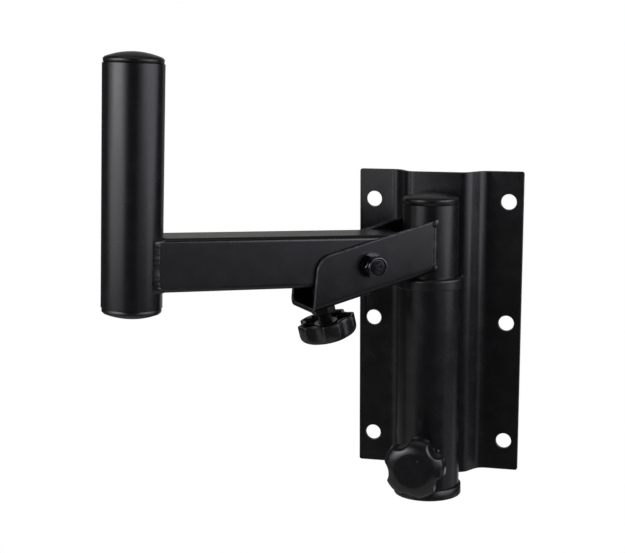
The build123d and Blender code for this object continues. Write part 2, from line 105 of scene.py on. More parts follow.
KNOB_RIB, KNOB_RIB_HEIGHT, KNOB_RIB_LEVEL, KNOB_RIB_EDGE = 1.8, 4.4, 6.2, 0.35
KNOB_SIDES = 180
GATE_RADIUS, GATE_PLACE = 0.75, (3.3, 6.4, 0)

# Nuts and threads
NUT_CORNER, NUT_CORNER_SLOPE = 0.475, 1.73  # turned corners: radius at the end by the flats, and its growth
NUT_CORNER_BLEND = 0.25
NUT_STEPS = 0.0, 0.2, 0.45, 0.7, 1.0        # rings, from a nut's end
HEAD_CENTRE = 0.2                           # innermost ring of a bolt head's faces, by the flats
THREAD_DEPTH = 0.61                         # by the pitch
THREAD_STEPS, SPARE_TURNS = 24, 3           # steps in a turn, and turns that are cut off again
ROD_SIDES = 48                              # plain ends of studs and bolt

# Plug caps
SPIGOT_DEPTH, SPIGOT_RADIUS = 8.0, 15.3     # inside the tube
CAP_SIDES = 128

# Weld beads
BEAD_SIDES = 16
BEAD_STATION, BEAD_FEWEST = 0.5, 12         # from ring to ring, and the fewest steps
BEAD_RUN_OUT, BEAD_POINT = 2.2, 0.02        # length of a round end, and the share of it left off its point
BEAD_RIPPLE, RIPPLE_DRIFT = 3.4, 1.2        # from one frozen ripple to the next, and how uneven that is
RIPPLE_SHARE, LUMP_SHARE = 0.06, 0.4        # of the bead's height
BEAD_SPREAD = 0.5                           # how much of a swell the width takes
BEAD_WANDER = 0.4                           # off the seam
LUMPS = 0.17, 7.3, 1.7                      # noise along a bead: steps in a millimetre, step between seeds, row
SHAKES = 0.35, 3.1, 9.2
DROP_LUMP, DROP_RATE, DROP_SEED_STEP = 0.08, 1.3, 5.1   # a drop's unevenness by its size, its noise and seeds


def linear(hex_colour):
    """sRGB hex colour as linear RGBA."""
    channels = [int(hex_colour[i:i + 2], 16) / 255 for i in (1, 3, 5)]
    return [c / 12.92 if c <= 0.04045 else ((c + 0.055) / 1.055) ** 2.4 for c in channels] + [1.0]


def node(tree, kind, settings=None, **links):
    """Adds a node. Settings are its attributes. Links are values or other nodes' outputs by socket: its name with
    underscores for spaces, or i and its number where several sockets share a name."""
    made = tree.nodes.new(kind)
    for name, value in (settings or {}).items():
        setattr(made, name, value)
    for name, value in links.items():
        numbered = name[0] == "i" and name[1:].isdigit()
        socket = made.inputs[int(name[1:]) if numbered else name.replace("_", " ")]
        if isinstance(value, bpy.types.NodeSocket):
            tree.links.new(value, socket)
        else:
            socket.default_value = value
    return made


def blank_material(name):
    """New material without nodes, and its tree."""
    material = bpy.data.materials.new(name)
    material.use_nodes = True
    material.node_tree.nodes.clear()
    return material, material.node_tree


def surface(tree, kind="ShaderNodeBsdfPrincipled", **links):
    """Puts a shader on a material's output."""
    shader = node(tree, kind, **links)
    node(tree, "ShaderNodeOutputMaterial", Surface=shader.outputs[0])


def surface_noise(tree, size, detail=2.0, rough=0.5):
    """Noise laid through the piece, its pattern size in millimetres."""
    place = node(tree, "ShaderNodeTexCoord").outputs["Object"]
    pattern = node(tree, "ShaderNodeTexNoise", Vector=place, Scale=1 / (size * MM), Detail=detail, Roughness=rough)
    return pattern.outputs["Fac"]


def spread(tree, pattern, low, high, start=0.3, end=0.7):
    """A pattern's middle range as values from low to high."""
    ramp = node(tree, "ShaderNodeMapRange", Value=pattern, From_Min=start, From_Max=end, To_Min=low, To_Max=high)
    return ramp.outputs[0]


def tones(tree, pattern, dark, pale):
    """A pattern as a mix of two hex colours."""
    return node(tree, "ShaderNodeMix", {"data_type": "RGBA"}, i0=pattern, i6=linear(dark), i7=linear(pale)).outputs[2]


def relief(tree, pattern, strength, depth):
    """A pattern as bumps, their depth in millimetres."""
    return node(tree, "ShaderNodeBump", Height=pattern, Strength=strength, Distance=depth * MM).outputs["Normal"]


def powder_coat():
    """Satin black powder coat on steel: orange peel softens every reflection, and the film's thickness changes, so
    the gloss drifts a little."""
    material, tree = blank_material("satin_black_powder_coat")
    peel = surface_noise(tree, 0.9)                                 # orange peel of 0.9 mm
    drift = surface_noise(tree, 9.0, detail=1.0, rough=0.4)         # film thickness over 9 mm
    bumps = relief(tree, peel, strength=0.10, depth=0.05)
    surface(tree, Base_Color=tones(tree, drift, "#0f0f11", "#131315"), Roughness=spread(tree, drift, 0.235, 0.285),
            IOR=1.5, Normal=bumps)
    return material


def edge_wear_and_painted_highlight():
    """Powder coat on a sheet's cut edge, pale in patches: the film runs thin there and is rubbed, and the pale tone
    also paints a highlight along the rounded edges.
    """
    material, tree = blank_material("edge_coat_worn_and_painted_highlight")
    patches = surface_noise(tree, 3.0, detail=3.0, rough=0.6)       # pale patches of 3 mm: rubbed wear and painted edge highlight
    wear_and_highlight = spread(tree, patches, 0.0, 1.0, start=0.35, end=0.65)
    # Base colour pale on the edges: partly rubbed wear, partly painted highlight along the sheet's edges
    surface(tree, Base_Color=tones(tree, wear_and_highlight, "#1c1c1e", "#48484d"), Roughness=0.30, IOR=1.5)
    return material


def moulded_plastic():
    """Black moulded nylon of caps and collar: dull, with a spark-eroded grain and faint flow marks."""
    material, tree = blank_material("black_moulded_nylon")
    grain = surface_noise(tree, 0.6)                                # mould's grain of 0.6 mm
    flow = surface_noise(tree, 6.0, detail=3.0, rough=0.6)          # flow marks of 6 mm
    bumps = relief(tree, grain, strength=0.15, depth=0.05)
    surface(tree, Base_Color=tones(tree, flow, "#101011", "#161617"), Roughness=spread(tree, flow, 0.25, 0.33),
            IOR=1.5, Normal=bumps)
    return material


def knob_plastic():
    """Black nylon of the hand knobs: smooth from a polished mould, so the crowns shine, with cloudy flow marks on the
    flat face."""
    material, tree = blank_material("polished_black_nylon")
    flow = surface_noise(tree, 4.0, detail=4.0, rough=0.65)         # flow marks of 4 mm
    bumps = relief(tree, flow, strength=0.10, depth=0.12)
    surface(tree, Base_Color=tones(tree, flow, "#101011", "#1e1e20"), Roughness=spread(tree, flow, 0.19, 0.27),
            IOR=1.5, Normal=bumps)
    return material


def black_zinc():
    """Black zinc plate on nuts and washers: a dark metal that glints on its edges, with a cloudy passivation."""
    material, tree = blank_material("black_zinc_plate")
    cloud = surface_noise(tree, 2.0, detail=3.0, rough=0.6)         # clouds of 2 mm
    surface(tree, Base_Color=tones(tree, cloud, "#434347", "#5c5c60"), Metallic=1.0,
            Roughness=spread(tree, cloud, 0.13, 0.24))
    return material


def rolled_thread():
    """Black oxide on studs and bolt: a dull film, rough where the bar was sheared."""
    material, tree = blank_material("black_oxide_thread")
    tear = surface_noise(tree, 1.1, detail=3.0, rough=0.6)          # tears of 1.1 mm
    bumps = relief(tree, tear, strength=0.7, depth=0.5)
    surface(tree, Base_Color=tones(tree, tear, "#050506", "#141415"), Roughness=spread(tree, tear, 0.22, 0.50),
            IOR=1.32, Normal=bumps)
    return material


def white_paper():
    """White paper under the part, lit until it burns out: no shade and no horizon show, as in the photograph."""
    material, tree = blank_material("white_paper")
    surface(tree, "ShaderNodeEmission", Color=linear("#ffffff"), Strength=1.0)
    return material


finishes = {"black_powder_coat": powder_coat(), "black_plastic": moulded_plastic(), "black_hardware": black_zinc()}
# The edge finish holds rubbed wear and a painted edge highlight
knob_finish, thread_finish, edge_wear_and_highlight_finish = knob_plastic(), rolled_thread(), edge_wear_and_painted_highlight()
for subpart in frame["record"]["subparts"]:
    looks = frame["nodes"][subpart["node"]].data.materials
    looks.clear()
    looks.append(finishes[subpart["material_slot"]])


joints = {joint["name"]: joint for joint in frame["joints"]}
UP = Vector((0, 0, 1))
OUT = Vector((-sin(SWING), -cos(SWING), 0))
SIDE = Vector((cos(SWING), -sin(SWING), 0))


def along(angle):
    """Direction in the swung arm's upright plane, at an angle above level."""
    return OUT * cos(angle) + UP * sin(angle)


def seat(place, x_way, z_way):
    """Takes a piece drawn in millimetres to its place, by its X and Z ways."""
    turn = Matrix((x_way, z_way.cross(x_way), z_way)).transposed().to_4x4()
    return Matrix.Translation(place) @ turn @ Matrix.Scale(MM, 4)


SWIVEL = Vector(joints["swivel"]["pos_m"])
BOLT = Vector(joints["arm_tilt"]["pos_m"])
ARM_WAY, ARM_UP = along(ARM_TILT), along(ARM_TILT + pi / 2)
ARM_MIDDLE = BOLT + ARM_UP * BOLT_DROP * MM
CHANNEL_UP = along(pi / 2 - CHANNEL_SLOPE)
CLAMP_SEAT = seat(Vector(joints["clamp_knob_turn"]["pos_m"]), Vector((1, 0, 0)), Vector((0, -1, 0)))
SCREW_SEAT = seat(Vector(joints["tilt_knob_turn"]["pos_m"]), SIDE, -CHANNEL_UP)
BOLT_SEAT = seat(BOLT, OUT, SIDE)


def in_order(shape):
    """Sorts vertices and faces by place, since Blender's extrusion makes its faces in a new order in each run."""
    for parts, where in ((shape.verts, lambda vert: vert.co[:]),
                         (shape.faces, lambda face: sorted(vert.co[:] for vert in face.verts))):
        ranks = {part: rank for rank, part in enumerate(sorted(parts, key=where))}
        parts.sort(key=lambda part: ranks[part])


def finished(name, shape, place, body, finish, *nodes, sharp=40.0, look=None):
    """Puts a drawn shape in its place as a piece that rides a body and stands for CAD nodes."""
    bmesh.ops.transform(shape, matrix=place, verts=shape.verts)
    in_order(shape)
    mesh = bpy.data.meshes.new(name)
    shape.to_mesh(mesh)
    shape.free()
    mesh.polygons.foreach_set("use_smooth", [True] * len(mesh.polygons))
    mesh.set_sharp_from_angle(angle=radians(sharp))
    mesh.materials.append(look or finishes[finish])
    piece = bpy.data.objects.new(name, mesh)
    bpy.context.scene.collection.objects.link(piece)
    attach(piece, body)
    if nodes:
        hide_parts(*nodes)
    return piece


def joined(shapes):
    """One shape out of several."""
    whole = shapes[0]
    for shape in shapes[1:]:
        carried = bpy.data.meshes.new("carried")
        shape.to_mesh(carried)
        shape.free()
        whole.from_mesh(carried)
        bpy.data.meshes.remove(carried)
    return whole


def moved(shape, matrix):
    """The same shape, moved."""
    bmesh.ops.transform(shape, matrix=matrix, verts=shape.verts)
    return shape


def ring_edges(loop):
    """Edges that run round a loop of vertices."""
    members = set(loop)
    edges = {edge for vert in loop for edge in vert.link_edges}
    return [edge for edge in edges if edge.verts[0] in members and edge.verts[1] in members]


def next_ring(shape, loop):
    """Draws a loop of vertices out into a new one."""
    new_parts = bmesh.ops.extrude_edge_only(shape, edges=ring_edges(loop))["geom"]
    return [part for part in new_parts if isinstance(part, bmesh.types.BMVert)]


def turned(rings, sides=96, hollow=False):
    """Body of rings, each with a height and a radius or a radius by angle. A hollow one closes on its first ring."""
    shape = bmesh.new()
    first = loop = bmesh.ops.create_circle(shape, cap_ends=not hollow, segments=sides, radius=1.0)["verts"]
    for number, (height, radius) in enumerate(rings):
        if number:
            loop = next_ring(shape, loop)
        for vert in loop:
            angle = atan2(vert.co.y, vert.co.x)
            reach = radius(angle) if callable(radius) else radius
            vert.co = (reach * cos(angle), reach * sin(angle), height)
    if hollow:
        bmesh.ops.bridge_loops(shape, edges=ring_edges(loop) + ring_edges(first))
    else:
        bmesh.ops.contextual_create(shape, geom=ring_edges(loop))
    bmesh.ops.recalc_face_normals(shape, faces=shape.faces)
    return shape


def soft_min(a, b, blend):
    """The smaller of two lengths, with a rounded change between them."""
    share = min(max(0.5 + 0.5 * (b - a) / blend, 0), 1)
    return b + (a - b) * share - blend * share * (1 - share)


def run_noise(run, seed, rate, seed_step, row):
    """Smooth random value along a bead's run in millimetres."""
    return noise.noise(Vector((run * rate, seed * seed_step, row)))


def bead(path, outward, width, height, seed, rough=1.0, closed=False):
    """Weld bead along a path in metres, with frozen ripples and uneven lumps. Its half width and its height are in
    millimetres. An open one runs out round at its ends."""
    shape = bmesh.new()
    count = len(path)
    stations = []
    run = 0.0
    for number, (point, away) in enumerate(zip(path, outward)):
        before = path[number - 1] if number or closed else point
        after = path[(number + 1) % count] if number < count - 1 or closed else point
        way = (after - before).normalized()
        run += (point - path[number - 1]).length / MM if number else 0.0
        lump, shake = run_noise(run, seed, *LUMPS), run_noise(run, seed, *SHAKES)
        ripple = sin(2 * pi * (run / BEAD_RIPPLE + RIPPLE_DRIFT * shake))
        swell = 1 + rough * (RIPPLE_SHARE * ripple + LUMP_SHARE * lump)
        wide, high = width * (1 + BEAD_SPREAD * (swell - 1)), height * swell
        if not closed:
            from_end = min(number, count - 1 - number) * BEAD_STATION
            close = sqrt(1 - (1 - min(from_end / BEAD_RUN_OUT + BEAD_POINT, 1)) ** 2)
            wide, high = wide * close, high * close
        across = way.cross(away).normalized()
        away = across.cross(way)
        turn = Matrix((across * wide * MM, away * high * MM, way)).transposed().to_4x4()
        stations.append(Matrix.Translation(point + across * shake * rough * BEAD_WANDER * MM) @ turn)
    loop = bmesh.ops.create_circle(shape, cap_ends=not closed, segments=BEAD_SIDES, radius=1.0,
                                   matrix=stations[0])["verts"]
    if closed:
        stations.append(stations[0])
    for before, after in zip(stations, stations[1:]):
        loop = next_ring(shape, loop)
        bmesh.ops.transform(shape, matrix=after @ before.inverted(), verts=loop)
    if closed:
        bmesh.ops.remove_doubles(shape, verts=shape.verts, dist=0.02 * MM)
    else:
        bmesh.ops.contextual_create(shape, geom=ring_edges(loop))
    bmesh.ops.recalc_face_normals(shape, faces=shape.faces)
    return shape


def straight_bead(start, end, away, width, height, seed, rough=1.0):
    """Weld bead on a straight seam, its ends in metres."""
    steps = max(int((end - start).length / (BEAD_STATION * MM)), BEAD_FEWEST)
    path = [start.lerp(end, step / steps) for step in range(steps + 1)]
    return bead(path, [away.normalized()] * len(path), width, height, seed, rough)


def weld_drop(place, way, away, length, width, height, seed):
    """Lens of weld metal left where a bead starts or stops, its half sizes in millimetres."""
    across = way.cross(away).normalized()
    away = across.cross(way).normalized()
    shape = bmesh.new()
    bmesh.ops.create_icosphere(shape, subdivisions=4, radius=1.0)
    for vert in shape.verts:
        vert.co *= 1 + DROP_LUMP * noise.noise(vert.co * DROP_RATE + Vector((seed * DROP_SEED_STEP, 0, 0)))
        vert.co.y = sqrt(abs(vert.co.y)) * (1 if vert.co.y > 0 else -1)     # a flat crest with steep flanks
    turn = Matrix((across * width * MM, away * height * MM, way.normalized() * length * MM)).transposed().to_4x4()
    return moved(shape, Matrix.Translation(place) @ turn)


# Bead all round the arm's end, in the valley between its faces and the pole
FACE_STEPS, CORNER_STEPS = 24, 5            # on half a face, and on a corner
flat = ARM_HALF - ARM_CORNER
outline = []
for quarter in range(4):
    face = Matrix.Rotation(pi / 2 * quarter, 2)
    for step in range(-FACE_STEPS, FACE_STEPS + 1):
        outline.append((face @ Vector((ARM_HALF, flat * step / FACE_STEPS)), face @ Vector((1, 0))))
    for step in range(1, CORNER_STEPS):
        normal = Matrix.Rotation(pi / 2 * step / CORNER_STEPS, 2) @ Vector((1, 0))
        outline.append((face @ (Vector((flat, flat)) + normal * ARM_CORNER), face @ normal))
arm_seam, arm_seam_away = [], []
seam_radius, seam_back, seam_lean = TUBE_RADIUS + 0.4, 0.8, 0.2
for spot, normal in outline:
    reach = sqrt(seam_radius ** 2 - spot.x ** 2)
    pole_normal = (SIDE * spot.x - ARM_WAY * reach) / seam_radius
    arm_seam.append(ARM_MIDDLE + (ARM_WAY * (POLE_REACH - reach - seam_back) + SIDE * spot.x + ARM_UP * spot.y) * MM)
    arm_seam_away.append((SIDE * normal.x + ARM_UP * normal.y + pole_normal * seam_lean).normalized())
arm_bead = bead(arm_seam, arm_seam_away, width=2.4, height=0.5, seed=1, rough=0.8, closed=True)
finished("arm_weld_bead", arm_bead, Matrix(), "arm", "black_powder_coat", "arm_weld", sharp=80)

# Upright beads where the channel's cheeks end on the pivot tube, with a drop on the cheek's lip at each end
seam_side, seam_out = CHEEK_OUTSIDE - 1.35, CHANNEL_START - 1.8
seam_foot, seam_head = CHEEK_FOOT + 1.0, CHEEK_HEAD + 0.9
lip_side, lip_out = CHEEK_OUTSIDE + 0.1, CHANNEL_START - 0.9
lip_foot, lip_head = CHEEK_FOOT + 3.6, CHEEK_HEAD - 1.6
channel_beads = []
for number, way in enumerate((1, -1)):
    seam = SWIVEL + (SIDE * way * seam_side + OUT * seam_out) * MM
    channel_beads.append(straight_bead(seam + UP * seam_foot * MM, seam + UP * seam_head * MM, SIDE * way - OUT * 0.5,
                                       width=2.4, height=0.75, seed=4 + number, rough=0.25))
    lip = SWIVEL + (SIDE * way * lip_side + OUT * lip_out) * MM
    facing = SIDE * way - OUT * 0.09 + UP * 0.27
    channel_beads.append(weld_drop(lip + UP * lip_head * MM, UP - OUT * 0.3, facing,
                                   length=2.9, width=1.8, height=1.0, seed=24 + number))
    channel_beads.append(weld_drop(lip + UP * lip_foot * MM, UP, facing,
                                   length=1.6, width=1.3, height=0.9, seed=26 + number))
finished("channel_weld_beads", joined(channel_beads), Matrix(), "pivot", "black_powder_coat", "channel_welds",
         sharp=180)

# Long beads that hold the socket off the plate
bead_side, bead_front, bead_inset = 9.0, HAT_FRONT + 1.6, 8.0
socket_beads = []
for number, way in enumerate((1, -1)):
    low = Vector((way * bead_side, -bead_front, SOCKET_FOOT + bead_inset)) * MM
    high = Vector((way * bead_side, -bead_front, SOCKET_HEAD - bead_inset)) * MM
    socket_beads.append(straight_bead(low, high, Vector((way, -0.2, 0)), width=1.9, height=2.4, seed=8 + number))
finished("socket_weld_beads", joined(socket_beads), Matrix(), "wall", "black_powder_coat", "socket_welds", sharp=80)


def lobed(radius):
    """Knob's outline radius by angle: a disc with a round flute between each two lobes."""
    flute_reach = radius - KNOB_VALLEY + KNOB_FLUTE

    def outline_radius(angle):
        from_valley = abs(angle % (2 * pi / KNOB_LOBES) - pi / KNOB_LOBES)
        inside = KNOB_FLUTE ** 2 - (flute_reach * sin(from_valley)) ** 2
        if inside <= 0:
            return radius
        return soft_min(radius, flute_reach * cos(from_valley) - sqrt(inside), KNOB_LOBE_EDGE)

    return outline_radius


def hand_knob(radius, stud, fullness):
    """Moulded knob, rim at height 0: a crown, soft-edged flutes, a hollow underside with hub and ribs."""
    edge = lobed(radius)

    def skin(profile, round_off=0.0):
        return lambda angle: soft_min(profile, edge(angle), KNOB_FLUTE_EDGE) - round_off

    def inner(step):
        return lambda angle: edge(angle) - step

    face, hole = radius - KNOB_CROWN, stud + 0.1
    rings = [(KNOB_HEIGHT, face * share) for share in (0.1, 0.5, 0.9)]
    for step in range(CROWN_STEPS + 1):
        lift = radians(90 - 90 / CROWN_STEPS * step)
        rise, reach = max(sin(lift), 0) ** (2 / fullness), max(cos(lift), 0) ** (2 / fullness)
        rings.append((KNOB_SKIRT + (KNOB_HEIGHT - KNOB_SKIRT) * rise, skin(face + KNOB_CROWN * reach)))
    # Skirt and rounded rim, then up the hollow's wall to its roof
    rings += [(height, skin(radius)) for height in (4.5, 2.5, 0.8)]
    rings += [(0.35, skin(radius, 0.12)), (0.1, skin(radius, 0.4)), (0.0, skin(radius, 0.8))]
    rings += [(0.0, inner(KNOB_WALL - 0.5)), (0.12, inner(KNOB_WALL - 0.15)), (0.5, inner(KNOB_WALL))]
    rings += [(3.0, inner(KNOB_WALL)), (KNOB_ROOF - 0.6, inner(KNOB_WALL + 0.2)), (KNOB_ROOF, inner(KNOB_WALL + 1.0))]
    # Down the hub, and up the stud's hole
    rings += [(KNOB_ROOF, KNOB_HUB + 0.8), (KNOB_ROOF - 0.6, KNOB_HUB), (KNOB_HUB_DROP + 0.4, KNOB_HUB)]
    rings += [(KNOB_HUB_DROP, KNOB_HUB - 0.4), (KNOB_HUB_DROP, stud + 0.9), (KNOB_HUB_DROP + 0.6, hole)]
    moulding = [turned(rings + [(KNOB_HOLE, hole)], KNOB_SIDES)]
    rib_length, rib_middle = radius - KNOB_HUB - 1.6, (radius + KNOB_HUB - 2.2) / 2
    for lobe in range(KNOB_LOBES):
        rib = bmesh.new()
        bmesh.ops.create_cube(rib, size=1.0)
        moved(rib, Matrix.Diagonal((rib_length, KNOB_RIB, KNOB_RIB_HEIGHT, 1)))
        bmesh.ops.bevel(rib, geom=rib.edges, offset=KNOB_RIB_EDGE, offset_type="OFFSET", segments=3, profile=0.5,
                        affect="EDGES", material=-1)
        moved(rib, Matrix.Translation((rib_middle, 0, KNOB_RIB_LEVEL)))
        moulding.append(moved(rib, Matrix.Rotation(2 * pi * lobe / KNOB_LOBES, 4, "Z")))
    return joined(moulding)


# Knobs: the front one also shows the mark of its mould's gate on the face
gate_mark = turned([(KNOB_HEIGHT - 0.4, GATE_RADIUS), (KNOB_HEIGHT + 0.05, GATE_RADIUS), (KNOB_HEIGHT + 0.22, 0.5),
                    (KNOB_HEIGHT + 0.26, 0.1)], 20)
moved(gate_mark, Matrix.Translation(GATE_PLACE))
clamp_knob = moved(hand_knob(CLAMP_KNOB_RADIUS, CLAMP_STUD, CLAMP_FULLNESS), Matrix.Rotation(CLAMP_LOBE_ANGLE, 4, "Z"))
clamp_rim = Matrix.Translation((0, 0, SOCKET_RADIUS + CLAMP_NUT_HEIGHT + CLAMP_KNOB_GAP))
finished("clamp_knob_moulding", joined([clamp_knob, gate_mark]), CLAMP_SEAT @ clamp_rim, "clamp_wheel", "black_plastic",
         "clamp_knob", look=knob_finish)
tilt_knob = moved(hand_knob(TILT_KNOB_RADIUS, TILT_STUD, TILT_FULLNESS), Matrix.Rotation(TILT_LOBE_ANGLE, 4, "Z"))
tilt_rim = Matrix.Translation((0, 0, CHEEK_BELOW_BOLT + TILT_NUT_HEIGHT + TILT_KNOB_GAP))
finished("tilt_knob_moulding", tilt_knob, SCREW_SEAT @ tilt_rim, "tilt_wheel", "black_plastic", "tilt_knob",
         look=knob_finish)


def hexagon(flats, low, high, bore, turn=0.0, both_ends=False):
    """Hexagon between two heights, its corners turned off at 30 degrees: a nut with a bore, a head without."""

    def outline_radius(height):
        from_end = min(high - height, height - low) if both_ends else high - height
        return lambda angle: soft_min(flats / 2 / cos((angle - turn) % (pi / 3) - pi / 6),
                                      flats * NUT_CORNER + from_end * NUT_CORNER_SLOPE, NUT_CORNER_BLEND)

    heights = [low + rise for rise in NUT_STEPS] + [high - fall for fall in reversed(NUT_STEPS)]
    rings = [(height, outline_radius(height)) for height in heights]
    if not bore:
        return turned([(low, flats * HEAD_CENTRE)] + rings + [(high, flats * HEAD_CENTRE)])
    return turned([(low, bore)] + rings + [(high, bore + 0.5), (high - 0.5, bore)], hollow=True)


def thread(radius, pitch, low, high):
    """Threaded rod: one pitch of the flanks is spun up in a helix, and both ends are cut square."""
    root = radius - THREAD_DEPTH * pitch
    flanks = ((root, 0.0), (root, 0.12), (radius, 0.44), (radius, 0.56), (root, 0.88), (root, 1.0))    # by the pitch
    turns = int((high - low) / pitch) + SPARE_TURNS
    shape = bmesh.new()
    verts = [shape.verts.new((reach, 0, low + (share - 1) * pitch)) for reach, share in flanks]
    edges = [shape.edges.new(pair) for pair in zip(verts, verts[1:])]
    bmesh.ops.spin(shape, geom=verts + edges, cent=(0, 0, 0), axis=(0, 0, 1), dvec=(0, 0, pitch / THREAD_STEPS),
                   angle=2 * pi * turns, steps=THREAD_STEPS * turns, use_merge=False, use_duplicate=False)
    bmesh.ops.remove_doubles(shape, verts=shape.verts, dist=1e-3)
    for height, way in ((low, -1), (high, 1)):
        everything = list(shape.verts) + list(shape.edges) + list(shape.faces)
        cut = bmesh.ops.bisect_plane(shape, geom=everything, dist=1e-4, plane_co=(0, 0, height), plane_no=(0, 0, way),
                                     clear_outer=True)["geom_cut"]
        bmesh.ops.contextual_create(shape, geom=[part for part in cut if isinstance(part, bmesh.types.BMEdge)])
    bmesh.ops.recalc_face_normals(shape, faces=shape.faces)
    return shape


# Clamp: a weld nut whose lowest rings are coped to the socket, with two tacks, and its stud with a turned tip
nut_foot, coped_below, coped_radius = 15.0, 17.0, SOCKET_RADIUS - 0.3
clamp_nut = hexagon(CLAMP_NUT_FLATS, nut_foot, SOCKET_RADIUS + CLAMP_NUT_HEIGHT, CLAMP_STUD + BORE_PLAY,
                    turn=radians(30))
for vert in clamp_nut.verts:
    if vert.co.z < coped_below:
        vert.co.z = sqrt(coped_radius ** 2 - vert.co.x ** 2)
bmesh.ops.remove_doubles(clamp_nut, verts=clamp_nut.verts, dist=1e-3)
finished("clamp_weld_nut", clamp_nut, CLAMP_SEAT, "wall", "black_powder_coat", "clamp_nut")
tack_side, tack_half, tack_level = 9.4, 5.0, 17.7
clamp_tacks = []
for number, way in enumerate((1, -1)):
    low = CLAMP_SEAT @ Vector((way * tack_side, -tack_half, tack_level))
    high = CLAMP_SEAT @ Vector((way * tack_side, tack_half, tack_level))
    clamp_tacks.append(straight_bead(low, high, Vector((way, -0.8, 0)), width=1.7, height=1.3, seed=12 + number))
finished("clamp_nut_tacks", joined(clamp_tacks), Matrix(), "wall", "black_powder_coat", sharp=80)
tip = CLAMP_STUD_TIP
clamp_tip = turned([(tip, 1.0), (tip, 3.9), (tip + 0.9, 4.6), (tip + 1.6, 4.6), (tip + 1.6, 1.0)], ROD_SIDES)
clamp_stud = thread(CLAMP_STUD, CLAMP_PITCH, tip + 1.0, CLAMP_STUD_END)
finished("clamp_stud_thread", joined([clamp_stud, clamp_tip]), CLAMP_SEAT, "clamp_stud", "black_hardware",
         "clamp_screw", look=thread_finish)

# Tilt screw: its weld nut under the channel's web with two tacks, and the stud with its ball tip
tilt_nut = hexagon(TILT_NUT_FLATS, CHEEK_BELOW_BOLT, CHEEK_BELOW_BOLT + TILT_NUT_HEIGHT, TILT_STUD + BORE_PLAY)
finished("tilt_weld_nut", tilt_nut, SCREW_SEAT, "pivot", "black_powder_coat", "tilt_nut")
tack_side, tack_half, tack_level = 6.9, 4.0, CHEEK_BELOW_BOLT + 0.2
tilt_tacks = []
for number, way in enumerate((1, -1)):
    low = SCREW_SEAT @ Vector((way * tack_side, -tack_half, tack_level))
    high = SCREW_SEAT @ Vector((way * tack_side, tack_half, tack_level))
    tilt_tacks.append(straight_bead(low, high, SIDE * way - CHANNEL_UP * 0.8, width=1.4, height=1.1, seed=16 + number))
finished("tilt_nut_tacks", joined(tilt_tacks), Matrix(), "pivot", "black_powder_coat", sharp=80)
ball = [(TILT_BALL - TILT_STUD * cos(radians(angle)), TILT_STUD * sin(radians(angle))) for angle in range(5, 91, 5)]
ball += [(TILT_BALL + 0.6, TILT_STUD), (TILT_BALL + 1.2, 3.2), (TILT_BALL + 1.2, 0.5)]
tilt_stud = thread(TILT_STUD, TILT_PITCH, TILT_BALL + 0.8, TILT_STUD_END)
finished("tilt_stud_thread", joined([tilt_stud, turned(ball, ROD_SIDES)]), SCREW_SEAT, "tilt_stud", "black_hardware",
         "tilt_screw", look=thread_finish)

# Tilt bolt: head on the far cheek, threaded end through the locking nut, whose collar holds a nylon ring. The collar's
# and the ring's profiles are heights on the nut's seat and radii
head_seat = Matrix.Translation((0, 0, -BOLT_GRIP)) @ Matrix.Rotation(pi, 4, "X")
head = moved(hexagon(BOLT_FLATS, 0.0, BOLT_HEAD, bore=0), head_seat)
shank_low, shank_high = -BOLT_GRIP - 0.5, BOLT_GRIP - 1.0
shank = turned([(shank_low, 1.0), (shank_low, BOLT_RADIUS), (shank_high, BOLT_RADIUS), (shank_high, 1.0)], ROD_SIDES)
bolt_end = BOLT_GRIP + LOCKNUT_HEIGHT + BOLT_TAIL
bolt_thread = thread(BOLT_RADIUS, BOLT_PITCH, BOLT_GRIP - 1.2, bolt_end - 0.55)
point = turned([(bolt_end - 1.2, 1.0), (bolt_end - 1.2, 3.45), (bolt_end - 0.5, 3.45), (bolt_end - 0.08, 3.0)] +
               [(bolt_end, reach) for reach in (2.8, 2.5, 2.2, 1.9, 1.6, 1.3, 1.0, 0.7, 0.4)], ROD_SIDES)
for vert in point.verts:
    if vert.co.z > bolt_end - 0.3:          # the sheared face
        vert.co.z += TEAR_DEPTH * noise.noise(vert.co * TEAR_RATE) - TEAR_SINK
finished("tilt_bolt", joined([shank, bolt_thread, point]), BOLT_SEAT, "pivot", "black_hardware", "pivot_bolt",
         look=thread_finish)
finished("tilt_bolt_head", head, BOLT_SEAT, "pivot", "black_hardware")
nut_hexagon = hexagon(BOLT_FLATS, BOLT_GRIP, BOLT_GRIP + LOCKNUT_HEX, BOLT_RADIUS + BORE_PLAY, both_ends=True)
collar_profile = ((5.0, 4.2), (5.0, 6.4), (5.6, 6.42), (7.0, 6.38), (7.5, 6.25), (7.82, 6.0), (8.0, 5.6), (7.95, 5.2),
                  (7.6, 4.9), (6.4, 4.8), (6.4, 4.2))
nut_collar = turned([(BOLT_GRIP + height, radius) for height, radius in collar_profile], hollow=True)
finished("tilt_locknut", joined([nut_hexagon, nut_collar]), BOLT_SEAT, "pivot", "black_hardware", "pivot_nut")
nylon_profile = ((6.5, 4.06), (6.5, 4.84), (7.2, 4.84), (7.4, 4.65), (7.45, 4.3), (7.3, 4.06))
nylon_ring = turned([(BOLT_GRIP + height, radius) for height, radius in nylon_profile], hollow=True)
finished("locknut_nylon_ring", nylon_ring, BOLT_SEAT, "pivot", "black_plastic")


